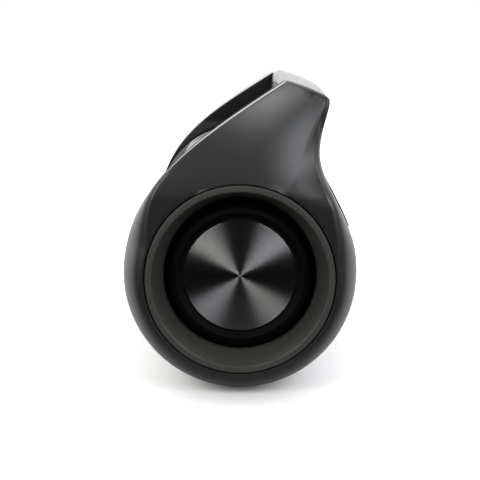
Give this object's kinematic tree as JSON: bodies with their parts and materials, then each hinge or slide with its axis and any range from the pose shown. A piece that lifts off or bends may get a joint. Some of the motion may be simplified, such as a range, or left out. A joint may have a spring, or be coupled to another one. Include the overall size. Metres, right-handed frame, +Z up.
{
  "type": "portable loudspeaker",
  "caption": "Round portable loudspeaker lying between two teardrop end shells whose arms carry a fixed handle, with a passive radiator in each end.",
  "frame": {"origin": "middle of the length and depth, on the surface that the feet stand on", "axes": "+X along the round body from one radiator to the other, -Y to the front grille, +Z up towards the handle"},
  "size_m": [0.495, 0.1956, 0.2639],
  "materials": {
    "satin_shell": "satin charcoal injection-moulded plastic with a fine grain",
    "dark_plastic": "matt black moulded plastic",
    "ring_plastic": "satin olive-grey moulded ring",
    "soft_rubber": "soft matt black rubber",
    "button_rubber": "matt black silicone keys",
    "surround_rubber": "smooth black butyl rubber roll",
    "speaker_cloth": "coarse woven black speaker cloth",
    "brushed_disc": "dark aluminium spun on a lathe, with fine circular lines",
    "steel": "zinc-plated steel",
    "socket_metal": "nickel-plated steel",
    "aluminium": "extruded aluminium",
    "cone_paper": "coated black paper pulp",
    "circuit_board": "green solder mask",
    "battery_wrap": "blue heat-shrink wrap",
    "light_lens": "milky light diffuser"
  },
  "bodies": {
    "body": {"arm_cover_left": "dark_plastic", "arm_cover_right": "dark_plastic", "audio_jack": "dark_plastic", "battery_cradle": "dark_plastic", "battery_pack": "battery_wrap", "battery_strap": "soft_rubber", "button_board": "circuit_board", "button_mat": "soft_rubber", "cabinet_front": "dark_plastic", "cabinet_rear": "dark_plastic", "charge_light": "light_lens", "control_panel": "satin_shell", "end_shell_left": "satin_shell", "end_shell_right": "satin_shell", "foot_left": "soft_rubber", "foot_right": "soft_rubber", "grille_cloth": "speaker_cloth", "grille_core": "steel", "handle_core": "steel", "handle_grip": "soft_rubber", "handle_screw_left": "steel", "handle_screw_right": "steel", "handle_top": "satin_shell", "heat_sink": "aluminium", "main_board": "circuit_board", "port_bay": "dark_plastic", "port_board": "circuit_board", "power_inlet": "dark_plastic", "radiator_frame_left": "dark_plastic", "radiator_frame_right": "dark_plastic", "radiator_surround_left": "surround_rubber", "radiator_surround_right": "surround_rubber", "trim_ring_left": "ring_plastic", "trim_ring_right": "ring_plastic", "tweeter_frame_left": "dark_plastic", "tweeter_frame_right": "dark_plastic", "usb_socket_left": "socket_metal", "usb_socket_right": "socket_metal", "woofer_basket_left": "steel", "woofer_basket_right": "steel", "woofer_magnet_left": "steel", "woofer_magnet_right": "steel", "woofer_surround_left": "surround_rubber", "woofer_surround_right": "surround_rubber"},
    "radiator_right": {"radiator_disc_right": "brushed_disc", "radiator_weight_right": "steel"},
    "woofer_cone_right": {"woofer_cone_right": "cone_paper"},
    "tweeter_dome_right": {"tweeter_dome_right": "cone_paper"},
    "radiator_left": {"radiator_disc_left": "brushed_disc", "radiator_weight_left": "steel"},
    "woofer_cone_left": {"woofer_cone_left": "cone_paper"},
    "tweeter_dome_left": {"tweeter_dome_left": "cone_paper"},
    "wireless_button": {"wireless_button": "button_rubber"},
    "volume_down_button": {"volume_down_button": "button_rubber"},
    "power_button": {"power_button": "button_rubber"},
    "play_button": {"play_button": "button_rubber"},
    "volume_up_button": {"volume_up_button": "button_rubber"},
    "link_button": {"link_button": "button_rubber"},
    "port_door": {"port_door": "soft_rubber"}
  },
  "joints": [
    {"name": "radiator_right_stroke", "type": "slide", "parent": "body", "child": "radiator_right", "axis": [1, 0, 0], "range_m": [-0.004, 0.004], "stiffness_N_per_m": 1500, "deforming": ["radiator_surround_right"]},
    {"name": "radiator_left_stroke", "type": "slide", "parent": "body", "child": "radiator_left", "axis": [-1, 0, 0], "range_m": [-0.004, 0.004], "stiffness_N_per_m": 1500, "deforming": ["radiator_surround_left"]},
    {"name": "woofer_right_stroke", "type": "slide", "parent": "body", "child": "woofer_cone_right", "axis": [0, -1, 0], "range_m": [-0.003, 0.003], "stiffness_N_per_m": 1500, "deforming": ["woofer_surround_right"]},
    {"name": "woofer_left_stroke", "type": "slide", "parent": "body", "child": "woofer_cone_left", "axis": [0, -1, 0], "range_m": [-0.003, 0.003], "stiffness_N_per_m": 1500, "deforming": ["woofer_surround_left"]},
    {"name": "tweeter_right_stroke", "type": "slide", "parent": "body", "child": "tweeter_dome_right", "axis": [0, -1, 0], "range_m": [-0.0003, 0.0003], "stiffness_N_per_m": 1500},
    {"name": "tweeter_left_stroke", "type": "slide", "parent": "body", "child": "tweeter_dome_left", "axis": [0, -1, 0], "range_m": [-0.0003, 0.0003], "stiffness_N_per_m": 1500},
    {"name": "wireless_press", "type": "slide", "parent": "body", "child": "wireless_button", "axis": [0, 0.1994, -0.9799], "range_m": [0, 0.0008], "stiffness_N_per_m": 1200},
    {"name": "volume_down_press", "type": "slide", "parent": "body", "child": "volume_down_button", "axis": [0, 0.1994, -0.9799], "range_m": [0, 0.0008], "stiffness_N_per_m": 1200},
    {"name": "power_press", "type": "slide", "parent": "body", "child": "power_button", "axis": [0, 0.1994, -0.9799], "range_m": [0, 0.0008], "stiffness_N_per_m": 1200},
    {"name": "play_press", "type": "slide", "parent": "body", "child": "play_button", "axis": [0, 0.1994, -0.9799], "range_m": [0, 0.0008], "stiffness_N_per_m": 1200},
    {"name": "volume_up_press", "type": "slide", "parent": "body", "child": "volume_up_button", "axis": [0, 0.1994, -0.9799], "range_m": [0, 0.0008], "stiffness_N_per_m": 1200},
    {"name": "link_press", "type": "slide", "parent": "body", "child": "link_button", "axis": [0, 0.1994, -0.9799], "range_m": [0, 0.0008], "stiffness_N_per_m": 1200},
    {"name": "port_door_swing", "type": "hinge", "parent": "body", "child": "port_door", "pos_m": [0, 0.089, 0.0624], "axis": [-1, 0, 0], "range_deg": [0, 100]}
  ]
}
